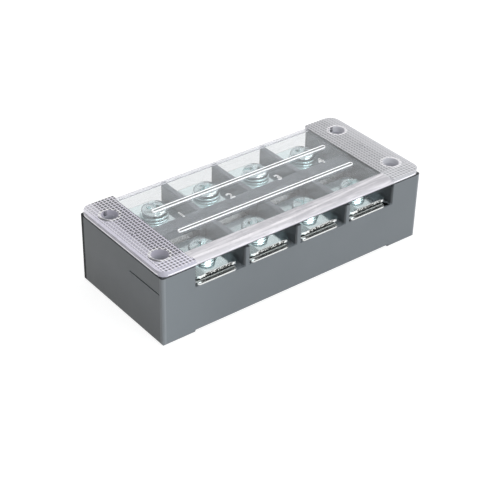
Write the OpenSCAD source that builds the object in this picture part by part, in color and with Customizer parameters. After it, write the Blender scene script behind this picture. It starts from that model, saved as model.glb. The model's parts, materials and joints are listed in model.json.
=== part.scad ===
// Four-pole barrier terminal strip with two rows of clamp screws and a clear clip-on cover.
// X runs along the row of poles, -Y is the front row, +Z is up.
// The origin is the middle of the footprint, at the height of the feet.

/* [Poles] */
// Distance from one pole to the next
pole_pitch = 17.2; // [16.4:0.1:20]
// Thickness of the barrier between two poles
barrier_t = 1.8; // [1.2:0.1:2.4]

/* [Base moulding] */
// Length of each solid end block
end_block_l = 10.5; // [9.5:0.1:14]
// Width of the base from the front face to the rear face
base_w = 38; // [37:0.2:44]
// Height of the terminal floor above the feet
floor_z = 14.3; // [12.5:0.1:18]
// How far the barriers stand below the end blocks
barrier_drop = 0.8; // [0.4:0.1:1.2]
// Width of the middle ridge between the two rows of screws
ridge_w = 4.4; // [3:0.1:5.2]
// Height of the tunnels that carry the bus bars through the ridge
tunnel_h = 3.2; // [3:0.1:4]
// Room on each side of a bus bar in its tunnel
tunnel_gap = 0.2; // [0.1:0.05:0.5]
// Height of the two feet below the middle of the underside
foot_h = 1; // [0.5:0.1:1.8]
// Length of each foot along the row
foot_l = 10.2; // [9:0.1:13]
// Radius of the upright corners of the base
base_corner_r = 1; // [0.5:0.1:2]
// Radius of the top edges of the base
base_top_r = 0.4; // [0.2:0.1:0.7]
// Radius of the bottom edges of the base
base_bottom_r = 0.9; // [0.3:0.1:1.4]
// How much each side of a compartment closes in towards its floor
draft = 0.1; // [0:0.05:0.2]
// Size of the bevel along the tops of the barriers and the ridge
barrier_bevel = 0.25; // [0.1:0.05:0.4]
// Size of the bevel on the upright edges at the mouth of each compartment
mouth_bevel = 0.4; // [0.1:0.05:0.5]

/* [Underside pockets] */
// Thickness of the ribs between the pockets of two poles
pocket_rib = 3; // [2:0.1:5]
// Width of each of the three rows of pockets, from front to rear
pocket_w = 8; // [5:0.1:8.6]
// Thickness of the ribs between two rows of pockets
pocket_row_rib = 3.4; // [2:0.1:3.6]
// Plastic left between the pockets and the wells of the screw tips
pocket_roof = 2; // [1.2:0.1:3]
// Radius of the corners of the pockets
pocket_r = 1; // [0.3:0.1:2]

/* [End face slots] */
// Length of the thin slot in each end face
slot_l = 13.1; // [8:0.1:15]
// Height of that slot
slot_h = 0.4; // [0.2:0.05:0.8]
// Depth of that slot
slot_depth = 0.5; // [0.2:0.1:1]
// Distance from that slot up to the top of the end block
slot_drop = 5.3; // [3:0.1:8]
// Distance from that slot to the nearer long face of the base
slot_inset = 1.4; // [1.2:0.1:3]

/* [Mounting holes] */
// Diameter of the four mounting holes
hole_d = 4.5; // [3.5:0.1:5.2]
// Distance from an end face to the middle of a mounting hole
hole_inset_x = 4.7; // [4.2:0.1:5.2]
// Distance from a long face to the middle of a mounting hole
hole_inset_y = 7.5; // [6:0.1:9]

/* [Bus bars] */
// Thickness of a bus bar
bar_t = 0.65; // [0.5:0.05:1.5]
// Room between a bus bar and the barrier on its left
bar_left_gap = 0.55; // [0.4:0.05:2]
// Room between a bus bar and the barrier on its right
bar_right_gap = 2.35; // [0.8:0.05:2.8]
// Distance from a long face of the base back to the end of a bus bar
bar_setback = 0.1; // [0:0.05:1.5]
// Radius of the corners of a bus bar
bar_corner_r = 0.8; // [0.3:0.1:2]
// Diameter of the drawn collar below a bus bar that carries the thread
collar_d = 6.4; // [5.6:0.1:7.2]
// Height of that collar
collar_h = 2; // [1.4:0.1:2.6]
// Room round a collar in the well of the base
collar_gap = 0.3; // [0.2:0.05:0.5]

/* [Clamp plates] */
// Thickness of a clamp plate without its teeth
plate_t = 0.55; // [0.4:0.05:1.2]
// Room between a clamp plate and the barrier on each side
plate_side_gap = 0.4; // [0.3:0.05:0.8]
// Distance from a long face of the base back to the edge of a clamp plate
plate_setback = 0.9; // [0.6:0.1:2]
// Radius of the corners of a clamp plate
plate_corner_r = 3; // [1:0.1:3.6]
// Width of the wing that slopes down on each side of a clamp plate
wing_l = 3.4; // [1.5:0.1:4]
// How far the wing tips drop below the middle of the plate
wing_drop = 0.85; // [0.2:0.05:1]
// Pitch of the teeth on the underside
tooth_pitch = 1.1; // [0.8:0.05:1.6]
// Height of those teeth
tooth_h = 0.25; // [0.15:0.05:0.4]
// Gap between the bus bar and the teeth where a wing crosses the bar's edge
plate_rest_gap = 0.1; // [0.05:0.05:0.3]
// Room round the screw in the hole of a clamp plate
plate_hole_gap = 0.3; // [0.2:0.05:0.6]

/* [Clamp screws] */
// Distance from a long face of the base to the axis of a screw
screw_setback = 8.1; // [7.8:0.05:8.6]
// Diameter of the screw thread
thread_d = 4; // [3:0.1:4.4]
// Running clearance between the thread and its bore, on the radius
thread_gap = 0.05; // [0.02:0.01:0.1]
// Length of the screw below its head
screw_l = 8; // [6.5:0.1:9]
// Length of the bevel at the tip of the screw
tip_bevel = 0.6; // [0.2:0.1:1]
// Room between the tip of the screw and the bottom of its well
tip_room = 1.2; // [0.5:0.1:2]
// Diameter of the screw head
head_d = 7.3; // [6.6:0.1:7.6]
// Height of the screw head
head_h = 2.2; // [2:0.1:2.8]
// Height of the straight side of the screw head
head_side_h = 0.9; // [0.4:0.1:1.1]
// Rise of the domed top of the screw head
head_dome_h = 0.25; // [0.1:0.05:0.5]
// Width of the slot across the screw head
driver_slot_w = 1; // [0.6:0.1:1.3]
// Depth of that slot
driver_slot_depth = 1; // [0.6:0.1:1.3]
// Width of the arms of the cross recess
cross_w = 1.2; // [0.8:0.1:1.5]
// Length across the cross recess at the top of the head
cross_l = 4.4; // [3.6:0.1:5]
// Length across the cross recess at its bottom
cross_floor_l = 2; // [1.6:0.1:2.6]
// Depth of the cross recess
cross_depth = 1.6; // [1.2:0.1:1.8]

/* [Spring washers] */
// Outer diameter of a spring washer
washer_d = 7.8; // [7:0.1:8.4]
// Thickness of a spring washer
washer_t = 0.9; // [0.6:0.05:1.2]
// Room round the screw in a spring washer
washer_gap = 0.2; // [0.1:0.05:0.4]
// Width of the cut through a spring washer
washer_cut = 0.8; // [0.4:0.1:1.4]
// Slant of that cut in degrees
washer_cut_slant = 25; // [0:1:35]

/* [Cover] */
// Thickness of the cover at its rim
cover_t = 1.6; // [1.3:0.1:2.2]
// Radius of the corners of the cover
cover_corner_r = 2.9; // [1.5:0.1:4]
// Width of the bevel along the long edges, over the compartments
cover_bevel_w = 1.7; // [0.8:0.1:2.4]
// Height of that bevel
cover_bevel_h = 1; // [0.5:0.1:1.1]
// Width of the thick rail along each long edge
cover_rail_w = 5.2; // [3:0.1:6]
// Depth of the thinner window under the cover
window_depth = 0.5; // [0.2:0.05:0.6]
// Room between a screw head and the window of the cover
head_room = 1.65; // [1.4:0.05:2.2]
// Room round a mounting screw in the cover, added to the radius of the hole
cover_hole_gap = 0.05; // [0:0.05:0.3]
// Width of the two raised ribs that frame the label field
rib_w = 1.2; // [0.8:0.1:1.8]
// Height of those ribs
rib_h = 0.5; // [0.3:0.1:0.8]
// Distance between the middle lines of the two ribs
rib_spacing = 11.8; // [8:0.1:16]
// Distance from an end block to the nearer end of a rib
rib_inset = 3.7; // [1:0.1:6]
// Diameter of the pegs below the cover
peg_d = 3; // [2.4:0.1:3.6]
// Length of those pegs
peg_l = 5; // [3:0.1:7]
// Length of the lead-in at the tip of a peg
peg_tip = 0.6; // [0.3:0.1:0.9]
// Running clearance round a peg, on the radius
peg_gap = 0.08; // [0.04:0.01:0.1]
// Room below a peg in its hole
peg_room = 0.8; // [0.4:0.1:1.5]
// Diameter of the moulding gate mark above a peg
gate_d = 1.6; // [1:0.1:2.4]
// Height of that mark
gate_h = 0.2; // [0.1:0.05:0.4]

/* [Hidden] */

poles = 4;
front = -1;
rear = 1;
// How far each screw and washer happens to be turned, in degrees, chosen by hand
front_turns = [28, 62, 118, 9];
rear_turns = [74, 20, 145, 51];

// Fineness of round parts
fine = 48;
corner_steps = 5;
dome_steps = 5;
overcut = 1;

compartment_w = pole_pitch - barrier_t;
span_l = poles * compartment_w + (poles - 1) * barrier_t;
base_l = span_l + 2 * end_block_l;
compartment_l = (base_w - ridge_w) / 2;

bar_w = compartment_w - bar_left_gap - bar_right_gap;
bar_x = (bar_left_gap - bar_right_gap) / 2;
bar_l = base_w - 2 * bar_setback;
bar_top = floor_z + bar_t;
bar_reach = compartment_w / 2 - min(bar_left_gap, bar_right_gap);

plate_w = compartment_w - 2 * plate_side_gap;
plate_l = 2 * (screw_setback - plate_setback);
wing_slope = wing_drop / wing_l;
plate_top = bar_top + plate_rest_gap + tooth_h + plate_t + wing_fall(min(bar_reach, plate_w / 2));
plate_hole_d = thread_d + 2 * plate_hole_gap;

head_seat = plate_top + washer_t;
head_top = head_seat + head_h;
screw_y = base_w / 2 - screw_setback;
screw_tip = head_seat - screw_l;
bore_d = thread_d + 2 * thread_gap;
well_tip_z = screw_tip - tip_room;

window_z = head_top + head_room;
base_h = window_z - window_depth;
barrier_top = base_h - barrier_drop;
window_w = base_w - 2 * cover_rail_w;

hole_x = base_l / 2 - hole_inset_x;
hole_y = base_w / 2 - hole_inset_y;
cover_hole_d = hole_d + 2 * cover_hole_gap;
peg_hole_d = peg_d + 2 * peg_gap;

base_grey = [0.42, 0.43, 0.45];
clear = [0.86, 0.88, 0.92, 0.45];
bar_metal = [0.80, 0.81, 0.78];
zinc = [0.76, 0.79, 0.78];

// X of a pole, counted from 1 at the left end
function pole_x(pole) = (pole - (poles + 1) / 2) * pole_pitch;

// Points along an arc
function arc(centre, radius, from, to, steps) =
  [for (i = [0 : steps])
    let (a = from + (to - from) * i / steps)
    centre + radius * [cos(a), sin(a)]];

// Rectangle about the origin with round corners
function rounded(length, width, radius, steps = corner_steps) =
  let (x = length / 2 - radius, y = width / 2 - radius)
  concat(
    arc([x, y], radius, 0, 90, steps),
    arc([-x, y], radius, 90, 180, steps),
    arc([-x, -y], radius, 180, 270, steps),
    arc([x, -y], radius, 270, 360, steps));

// Section standing on zero height, with one radius at its top and another at its bottom
function upright(width, height, top_r, bottom_r, steps = 4) =
  let (x = width / 2)
  concat(
    arc([x - top_r, height - top_r], top_r, 0, 90, steps),
    arc([-x + top_r, height - top_r], top_r, 90, 180, steps),
    arc([-x + bottom_r, bottom_r], bottom_r, 180, 270, steps),
    arc([x - bottom_r, bottom_r], bottom_r, 270, 360, steps));

// Height of the top of a clamp plate at a distance across it, below its flat middle
function wing_fall(x) = wing_slope * max(0, abs(x) - (plate_w / 2 - wing_l));

// Stands a profile drawn in Y and Z along X, centred
module along_x(length) {
  translate([-length / 2, 0, 0]) rotate([90, 0, 90]) linear_extrude(length) children();
}

// Stands a profile drawn in X and Z along Y, centred
module along_y(length) {
  translate([0, length / 2, 0]) rotate([90, 0, 0]) linear_extrude(length) children();
}

// Repeats its children at the four mounting holes
module at_mounting_holes() {
  for (x = [-hole_x, hole_x], y = [-hole_y, hole_y]) translate([x, y, 0]) children();
}

// Repeats its children at the two pegs of the cover
module at_pegs() {
  for (x = [-hole_x, hole_x]) translate([x, 0, 0]) children();
}

// Space of one compartment, closing in towards its floor and flared at its top and its mouth
module compartment() {
  half = compartment_w / 2;
  top = barrier_top + overcut;
  length = compartment_l + overcut;
  outer = half + mouth_bevel + overcut;
  inner = half - draft;
  for (side = [front, rear]) {
    translate([0, side * (ridge_w / 2 + length / 2), 0]) along_y(length)
      polygon([
        [-half + draft, floor_z], [half - draft, floor_z],
        [half, barrier_top - barrier_bevel], [half + barrier_bevel, barrier_top],
        [half + barrier_bevel, top], [-half - barrier_bevel, top],
        [-half - barrier_bevel, barrier_top], [-half, barrier_top - barrier_bevel]]);
    translate([0, side * base_w / 2, floor_z]) linear_extrude(top - floor_z)
      polygon([
        [-outer, side * overcut], [outer, side * overcut],
        [inner, -side * (mouth_bevel + draft)], [-inner, -side * (mouth_bevel + draft)]]);
  }
}

// Bevels the two long edges of the ridge across one compartment
module ridge_bevel() {
  half = ridge_w / 2;
  for (side = [front, rear])
    along_x(compartment_w)
      polygon([
        [side * (half - barrier_bevel), barrier_top + overcut],
        [side * (half - barrier_bevel), barrier_top],
        [side * half, barrier_top - barrier_bevel],
        [side * (half + overcut), barrier_top - barrier_bevel],
        [side * (half + overcut), barrier_top + overcut]]);
}

// Tunnel that lets a bus bar pass under the ridge
module tunnel() {
  width = bar_w + 2 * tunnel_gap;
  translate([bar_x - width / 2, -ridge_w / 2 - overcut, floor_z])
    cube([width, ridge_w + 2 * overcut, tunnel_h]);
}

// Stepped blind well for a collar and for the tip of its screw
module well() {
  well_d = collar_d + 2 * collar_gap;
  well_z = floor_z - collar_h - collar_gap;
  tip_d = thread_d + 2 * collar_gap;
  translate([0, 0, well_z]) cylinder(h = floor_z - well_z + overcut, d = well_d, $fn = fine);
  translate([0, 0, well_tip_z])
    cylinder(h = well_z - well_tip_z + overcut, d = tip_d, $fn = fine);
}

// Outer block of the base with its round edges
module base_block() {
  intersection() {
    linear_extrude(base_h) polygon(rounded(base_l, base_w, base_corner_r));
    along_x(base_l + overcut)
      polygon(upright(base_w, base_h, base_top_r, base_bottom_r));
    along_y(base_w + overcut)
      polygon(upright(base_l, base_h, base_top_r, base_bottom_r));
  }
}

// Three pockets below one pole that keep the moulding even in thickness
module underside_pockets() {
  for (row = [-1, 0, 1])
    translate([0, row * (pocket_w + pocket_row_rib), foot_h - overcut])
      linear_extrude(well_tip_z - pocket_roof - foot_h + overcut)
        polygon(rounded(pole_pitch - pocket_rib, pocket_w, pocket_r));
}

// Thin slot in the end face, near the front on the left and near the rear on the right
module end_slot(side) {
  y_outer = base_w / 2 - slot_inset;
  translate([side * base_l / 2, side * (y_outer - slot_l / 2), base_h - slot_drop])
    cube([2 * slot_depth, slot_l, slot_h], center = true);
}

module base() {
  color(base_grey)
  difference() {
    base_block();
    // Relief under the middle leaves a foot at each end
    translate([-base_l / 2 + foot_l, -base_w / 2 - overcut, -overcut])
      cube([base_l - 2 * foot_l, base_w + 2 * overcut, foot_h + overcut]);
    // The barriers stand lower than the end blocks
    translate([-span_l / 2, -base_w / 2 - overcut, barrier_top])
      cube([span_l, base_w + 2 * overcut, barrier_drop + overcut]);
    for (pole = [1 : poles]) translate([pole_x(pole), 0, 0]) {
      compartment();
      ridge_bevel();
      tunnel();
      for (side = [front, rear]) translate([0, side * screw_y, 0]) well();
      underside_pockets();
    }
    at_mounting_holes()
      translate([0, 0, -overcut]) cylinder(h = base_h + 2 * overcut, d = hole_d, $fn = fine);
    at_pegs()
      translate([0, 0, base_h - peg_l - peg_room])
        cylinder(h = peg_l + peg_room + overcut, d = peg_hole_d, $fn = fine);
    for (side = [-1, 1]) end_slot(side);
  }
}

// Strip that joins the front and rear screws of one pole
module bus_bar(pole) {
  color(bar_metal)
  translate([pole_x(pole), 0, 0])
  difference() {
    union() {
      translate([bar_x, 0, floor_z])
        linear_extrude(bar_t) polygon(rounded(bar_w, bar_l, bar_corner_r));
      for (side = [front, rear])
        translate([0, side * screw_y, floor_z - collar_h])
          cylinder(h = collar_h + bar_t / 2, d = collar_d, $fn = fine);
    }
    for (side = [front, rear])
      translate([0, side * screw_y, floor_z - collar_h - overcut])
        cylinder(h = collar_h + bar_t + 2 * overcut, d = bore_d, $fn = fine);
  }
}

// Section of a clamp plate: a flat middle, sloping wings and a toothed underside
module plate_section() {
  half = plate_w / 2;
  teeth = floor(plate_w / tooth_pitch);
  first = -teeth * tooth_pitch / 2;
  underside = [for (i = [0 : teeth - 1], k = [0, 0.5])
    let (x = first + (i + k) * tooth_pitch)
    [x, -plate_t - wing_fall(x) - (k > 0 ? tooth_h : 0)]];
  polygon(concat(
    [[-half, -wing_fall(half)], [-half, -plate_t - wing_fall(half)]],
    underside,
    [[half, -plate_t - wing_fall(half)], [half, -wing_fall(half)],
     [half - wing_l, 0], [-half + wing_l, 0]]));
}

module clamp_plate(pole, side) {
  color(zinc)
  translate([pole_x(pole), side * screw_y, plate_top])
  difference() {
    intersection() {
      along_y(plate_l) plate_section();
      translate([0, 0, -plate_top])
        linear_extrude(2 * plate_top) polygon(rounded(plate_w, plate_l, plate_corner_r));
    }
    translate([0, 0, -plate_top]) cylinder(h = 2 * plate_top, d = plate_hole_d, $fn = fine);
  }
}

function turn(pole, side) = side == front ? front_turns[pole - 1] : rear_turns[pole - 1];

// Split ring with a slanted cut
module spring_washer(pole, side) {
  inner_r = thread_d / 2 + washer_gap;
  color(zinc)
  translate([pole_x(pole), side * screw_y, plate_top])
  rotate(turn(pole, side))
  difference() {
    rotate_extrude($fn = fine)
      translate([inner_r, 0]) square([washer_d / 2 - inner_r, washer_t]);
    translate([washer_d / 2, 0, washer_t / 2]) rotate([washer_cut_slant, 0, 0])
      cube([washer_d, washer_cut, 3 * washer_t], center = true);
  }
}

// Half section of the screw: bevelled tip, shank and a pan head with a domed top
module screw_section() {
  shank_r = thread_d / 2;
  head_r = head_d / 2;
  shoulder = head_h - head_dome_h - head_side_h;
  polygon(concat(
    [[0, -screw_l], [shank_r - tip_bevel / 2, -screw_l], [shank_r, -screw_l + tip_bevel],
     [shank_r, 0], [head_r, 0]],
    arc([head_r - shoulder, head_side_h], shoulder, 0, 90, dome_steps),
    [[0, head_h]]));
}

// One arm pair of the cross recess, narrowing towards its floor
module cross_arm() {
  rotate([90, 0, 0]) translate([0, 0, -cross_w / 2]) linear_extrude(cross_w)
    polygon([
      [-cross_floor_l / 2, head_h - cross_depth], [cross_floor_l / 2, head_h - cross_depth],
      [cross_l / 2, head_h], [cross_l / 2, head_h + overcut],
      [-cross_l / 2, head_h + overcut], [-cross_l / 2, head_h]]);
}

module clamp_screw(pole, side) {
  color(zinc)
  translate([pole_x(pole), side * screw_y, head_seat])
  rotate(turn(pole, side))
  difference() {
    rotate_extrude($fn = fine) screw_section();
    cross_arm();
    rotate(90) cross_arm();
    translate([-head_d, -driver_slot_w / 2, head_h - driver_slot_depth])
      cube([2 * head_d, driver_slot_w, driver_slot_depth + overcut]);
  }
}

// Rounded rib that frames the label field
module label_rib() {
  length = span_l - 2 * rib_inset;
  linear_extrude(rib_h) polygon(rounded(length, rib_w, rib_w / 2, 6));
}

// What the bevel takes off one long edge of the cover, drawn in Y and Z from its underside
module cover_bevel(side) {
  half = base_w / 2;
  flat = half - cover_bevel_w;
  lip = cover_t - cover_bevel_h;
  above = cover_t + overcut;
  polygon([
    [side * flat, cover_t], [side * half, lip], [side * (half + overcut), lip],
    [side * (half + overcut), above], [side * flat, above]]);
}

// Peg with a bevelled tip, hanging from the underside of the cover
module peg() {
  r = peg_d / 2;
  rotate_extrude($fn = fine)
    polygon([
      [0, -peg_l], [r - peg_tip / 2, -peg_l], [r, -peg_l + peg_tip],
      [r, cover_t / 2], [0, cover_t / 2]]);
}

module cover() {
  color(clear)
  translate([0, 0, base_h])
  difference() {
    union() {
      linear_extrude(cover_t) polygon(rounded(base_l, base_w, cover_corner_r));
      for (side = [front, rear])
        translate([0, side * rib_spacing / 2, cover_t]) label_rib();
      at_pegs() {
        peg();
        translate([0, 0, cover_t]) cylinder(h = gate_h, d = gate_d, $fn = fine);
      }
    }
    // Thinner window over the compartments
    translate([-span_l / 2, -window_w / 2, -overcut])
      cube([span_l, window_w, window_depth + overcut]);
    for (side = [front, rear]) along_x(span_l) cover_bevel(side);
    at_mounting_holes()
      translate([0, 0, -overcut])
        cylinder(h = cover_t + 2 * overcut, d = cover_hole_d, $fn = fine);
  }
}

base();
cover();
bus_bar(1);  // bus_bar_1
bus_bar(2);  // bus_bar_2
bus_bar(3);  // bus_bar_3
bus_bar(4);  // bus_bar_4
clamp_plate(1, front);  // front_clamp_plate_1
clamp_plate(2, front);  // front_clamp_plate_2
clamp_plate(3, front);  // front_clamp_plate_3
clamp_plate(4, front);  // front_clamp_plate_4
clamp_plate(1, rear);  // rear_clamp_plate_1
clamp_plate(2, rear);  // rear_clamp_plate_2
clamp_plate(3, rear);  // rear_clamp_plate_3
clamp_plate(4, rear);  // rear_clamp_plate_4
spring_washer(1, front);  // front_spring_washer_1
spring_washer(2, front);  // front_spring_washer_2
spring_washer(3, front);  // front_spring_washer_3
spring_washer(4, front);  // front_spring_washer_4
spring_washer(1, rear);  // rear_spring_washer_1
spring_washer(2, rear);  // rear_spring_washer_2
spring_washer(3, rear);  // rear_spring_washer_3
spring_washer(4, rear);  // rear_spring_washer_4
clamp_screw(1, front);  // front_screw_1
clamp_screw(2, front);  // front_screw_2
clamp_screw(3, front);  // front_screw_3
clamp_screw(4, front);  // front_screw_4
clamp_screw(1, rear);  // rear_screw_1
clamp_screw(2, rear);  // rear_screw_2
clamp_screw(3, rear);  // rear_screw_3
clamp_screw(4, rear);  // rear_screw_4
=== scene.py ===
# %% [markdown]
# # A barrier terminal strip in a white studio
#
# The strip is a grey moulded base with eight clamp screws and a clear cover. Its solids come
# from a finished model and are already at their real size and place. This lesson dresses
# them: edges get the small rounds that catch light, the cover gets its knurled ends, and
# every surface gets a material made from nodes.
#
# The solids could be painted as they are, but a real edge is never perfectly sharp. So each
# one is copied, cleaned and bevelled, and the copy stands in for the solid.

# %% Load the fixed frame
import json
import math
import bpy
from mathutils import Matrix, Vector


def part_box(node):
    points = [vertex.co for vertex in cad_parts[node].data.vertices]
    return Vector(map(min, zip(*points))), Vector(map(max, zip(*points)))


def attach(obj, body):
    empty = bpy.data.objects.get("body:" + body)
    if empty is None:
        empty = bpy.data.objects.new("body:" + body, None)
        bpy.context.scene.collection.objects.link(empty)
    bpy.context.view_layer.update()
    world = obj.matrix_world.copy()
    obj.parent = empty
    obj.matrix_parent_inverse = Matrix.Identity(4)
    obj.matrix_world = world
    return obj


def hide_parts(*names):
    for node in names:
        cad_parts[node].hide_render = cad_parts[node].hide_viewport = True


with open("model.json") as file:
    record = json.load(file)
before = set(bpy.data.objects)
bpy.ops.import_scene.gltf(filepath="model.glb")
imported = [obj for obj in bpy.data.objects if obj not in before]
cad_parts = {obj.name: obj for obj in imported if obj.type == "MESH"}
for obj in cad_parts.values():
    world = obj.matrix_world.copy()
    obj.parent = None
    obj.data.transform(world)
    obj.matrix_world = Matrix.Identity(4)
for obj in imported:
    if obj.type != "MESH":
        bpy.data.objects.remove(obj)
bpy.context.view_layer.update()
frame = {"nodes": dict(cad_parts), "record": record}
MM = 0.001
POLES = range(1, 5)
SIDES = ("front", "rear")
body_of = {
    node: body for body, nodes in frame["record"]["behaviour"]["bodies"].items() for node in nodes
}

# %% [markdown]
# ## The camera
#
# The photograph looks down on the left front corner. A camera can be placed by trial, but
# here its bearing, its height and its distance are known, so its three axes are worked out
# and written straight into its matrix. The small roll is the photographer's own.

# %% Camera
BEARING = math.radians(-38.762)
RISE = math.radians(33.811)
ROLL = math.radians(1.46)
DISTANCE = 368.49 * MM
AIM_RIGHT = -0.967 * MM
AIM_UP = 1.745 * MM
LENS = 94.61
SENSOR = 36


def direction_to(bearing, rise):
    """The way to a place. Its bearing goes round from the front to the right."""
    return Vector((
        math.sin(bearing) * math.cos(rise),
        -math.cos(bearing) * math.cos(rise),
        math.sin(rise)))


back = direction_to(BEARING, RISE)
level_right = Vector((math.cos(BEARING), math.sin(BEARING), 0))
level_up = back.cross(level_right)
cam_right = math.cos(ROLL) * level_right + math.sin(ROLL) * level_up
cam_up = math.cos(ROLL) * level_up - math.sin(ROLL) * level_right
camera_data = bpy.data.cameras.new("camera")
camera_data.lens = LENS
camera_data.sensor_width = SENSOR
camera_data.clip_start = 1 * MM
camera = bpy.data.objects.new("camera", camera_data)
bpy.context.scene.collection.objects.link(camera)
place = Matrix((cam_right, cam_up, back)).transposed().to_4x4()
place.translation = back * DISTANCE + cam_right * AIM_RIGHT + cam_up * AIM_UP
camera.matrix_world = place
bpy.context.scene.camera = camera
print("camera at", [round(v / MM, 1) for v in place.translation], "mm")

# %% [markdown]
# ## Working with operators
#
# Operators act on whatever is selected. These helpers make one object active with nothing
# else selected, and pick parts of its mesh by their place, so that each step touches only
# what it names.

# %% Selection helpers
NEAR = 0.05 * MM


def activate(*objects):
    """Selects only these objects and makes the first one active."""
    if bpy.context.object and bpy.context.object.mode != "OBJECT":
        bpy.ops.object.mode_set(mode="OBJECT")
    bpy.ops.object.select_all(action="DESELECT")
    for obj in objects:
        obj.select_set(True)
    bpy.context.view_layer.objects.active = objects[0]
    return objects[0]


def edit(obj, kind="VERT"):
    """Opens edit mode on this object, with nothing selected in its mesh."""
    activate(obj)
    bpy.ops.object.mode_set(mode="EDIT")
    bpy.ops.mesh.select_mode(type=kind)
    bpy.ops.mesh.select_all(action="DESELECT")


def pick(obj, kind, test):
    """Adds to the selection the vertices or faces whose place passes the test."""
    bpy.ops.object.mode_set(mode="OBJECT")
    parts = obj.data.vertices if kind == "VERT" else obj.data.polygons
    chosen = 0
    for part in parts:
        where = part.co if kind == "VERT" else part.center
        if test(where):
            part.select = True
            chosen += 1
    bpy.ops.object.mode_set(mode="EDIT")
    return chosen


def close_edit():
    bpy.ops.object.mode_set(mode="OBJECT")


def modify(obj, kind, **settings):
    """Adds a modifier, sets it and applies it."""
    activate(obj)
    modifier = obj.modifiers.new(kind.lower(), kind)
    for key, value in settings.items():
        setattr(modifier, key, value)
    bpy.ops.object.modifier_apply(modifier=modifier.name)


def triangles(obj):
    return sum(len(face.vertices) - 2 for face in obj.data.polygons)


# %% [markdown]
# ## From a solid to a finished piece
#
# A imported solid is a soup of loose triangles. Merging its doubles joins them, and a limited
# dissolve turns each flat side back into one face, so that a bevel finds only real edges.
# The bevel could be baked into the shading, but real rounds also show in the outline. A last
# modifier weights the normals by area, so that the big faces stay flat and only the rounds
# bend the light.

# %% Finished copies of the solids
MERGE = 0.002 * MM
FLAT = math.radians(0.6)
EDGE_ANGLE = math.radians(32)


def copy_solid(node, name):
    """A clean copy of a solid's mesh, with its triangles joined into flat faces."""
    source = frame["nodes"][node]
    copy = bpy.data.objects.new(name, source.data.copy())
    bpy.context.scene.collection.objects.link(copy)
    copy.data.materials.clear()
    edit(copy)
    bpy.ops.mesh.select_all(action="SELECT")
    bpy.ops.mesh.remove_doubles(threshold=MERGE)
    bpy.ops.mesh.dissolve_limited(angle_limit=FLAT)
    bpy.ops.mesh.select_all(action="DESELECT")
    close_edit()
    return copy


def bevel(obj, width, segments=2):
    """Rounds every edge sharper than EDGE_ANGLE."""
    modify(obj, "BEVEL", width=width, segments=segments, limit_method="ANGLE",
           angle_limit=EDGE_ANGLE, use_clamp_overlap=True, miter_outer="MITER_ARC")


def smooth(obj):
    """Smooths what is nearly flat, and keeps wide faces truly flat."""
    activate(obj)
    bpy.ops.object.shade_smooth_by_angle(angle=EDGE_ANGLE)
    modify(obj, "WEIGHTED_NORMAL", weight=50, keep_sharp=True)


def round_edges(obj, width, segments=2):
    bevel(obj, width, segments)
    smooth(obj)


def dress(obj, material, *nodes):
    """Gives a finished piece its material, its body and the solids that it stands for."""
    obj.data.materials.clear()
    obj.data.materials.append(material)
    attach(obj, body_of[nodes[0]])
    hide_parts(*nodes)
    return obj


# %% [markdown]
# ## Node materials written as sums
#
# A material is a small program. This class wraps a node's output so that plus, minus, times
# and divide add the Math nodes, and make() adds any other node from its settings and the
# values of its sockets. The patterns then read like formulas.

# %% Node helpers


class Value:
    """A node's output that can be used in a sum."""

    def __init__(self, paint, socket):
        self.paint = paint
        self.socket = socket

    def math(self, operation, first, second=0.0):
        return self.paint.make("Math", {"operation": operation}, {0: first, 1: second}).out()

    def __add__(self, other):
        return self.math("ADD", self, other)

    def __radd__(self, other):
        return self.math("ADD", other, self)

    def __sub__(self, other):
        return self.math("SUBTRACT", self, other)

    def __rsub__(self, other):
        return self.math("SUBTRACT", other, self)

    def __mul__(self, other):
        return self.math("MULTIPLY", self, other)

    def __rmul__(self, other):
        return self.math("MULTIPLY", other, self)

    def __truediv__(self, other):
        return self.math("DIVIDE", self, other)

    def __abs__(self):
        return self.math("ABSOLUTE", self)

    def cell(self):
        """How far this value lies from the middle of its unit cell, from 0 to 1."""
        return abs(self.math("FRACT", self) - 0.5) * 2

    def ramp(self, low, high):
        """0 below low, 1 above high, and a smooth rise between them."""
        settings = {"interpolation_type": "SMOOTHSTEP", "clamp": True}
        values = {"Value": self, "From Min": low, "From Max": high}
        return self.paint.make("MapRange", settings, values).out()

    def most(self, other):
        return self.math("MAXIMUM", self, other)

    def least(self, other):
        return self.math("MINIMUM", self, other)

    def root(self):
        return self.math("SQRT", self)

    def sign(self):
        return self.math("SIGN", self)


class Node:
    """A node, with its outputs ready for sums."""

    def __init__(self, paint, node):
        self.paint = paint
        self.node = node

    def out(self, name=0):
        return Value(self.paint, self.node.outputs[name])


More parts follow.
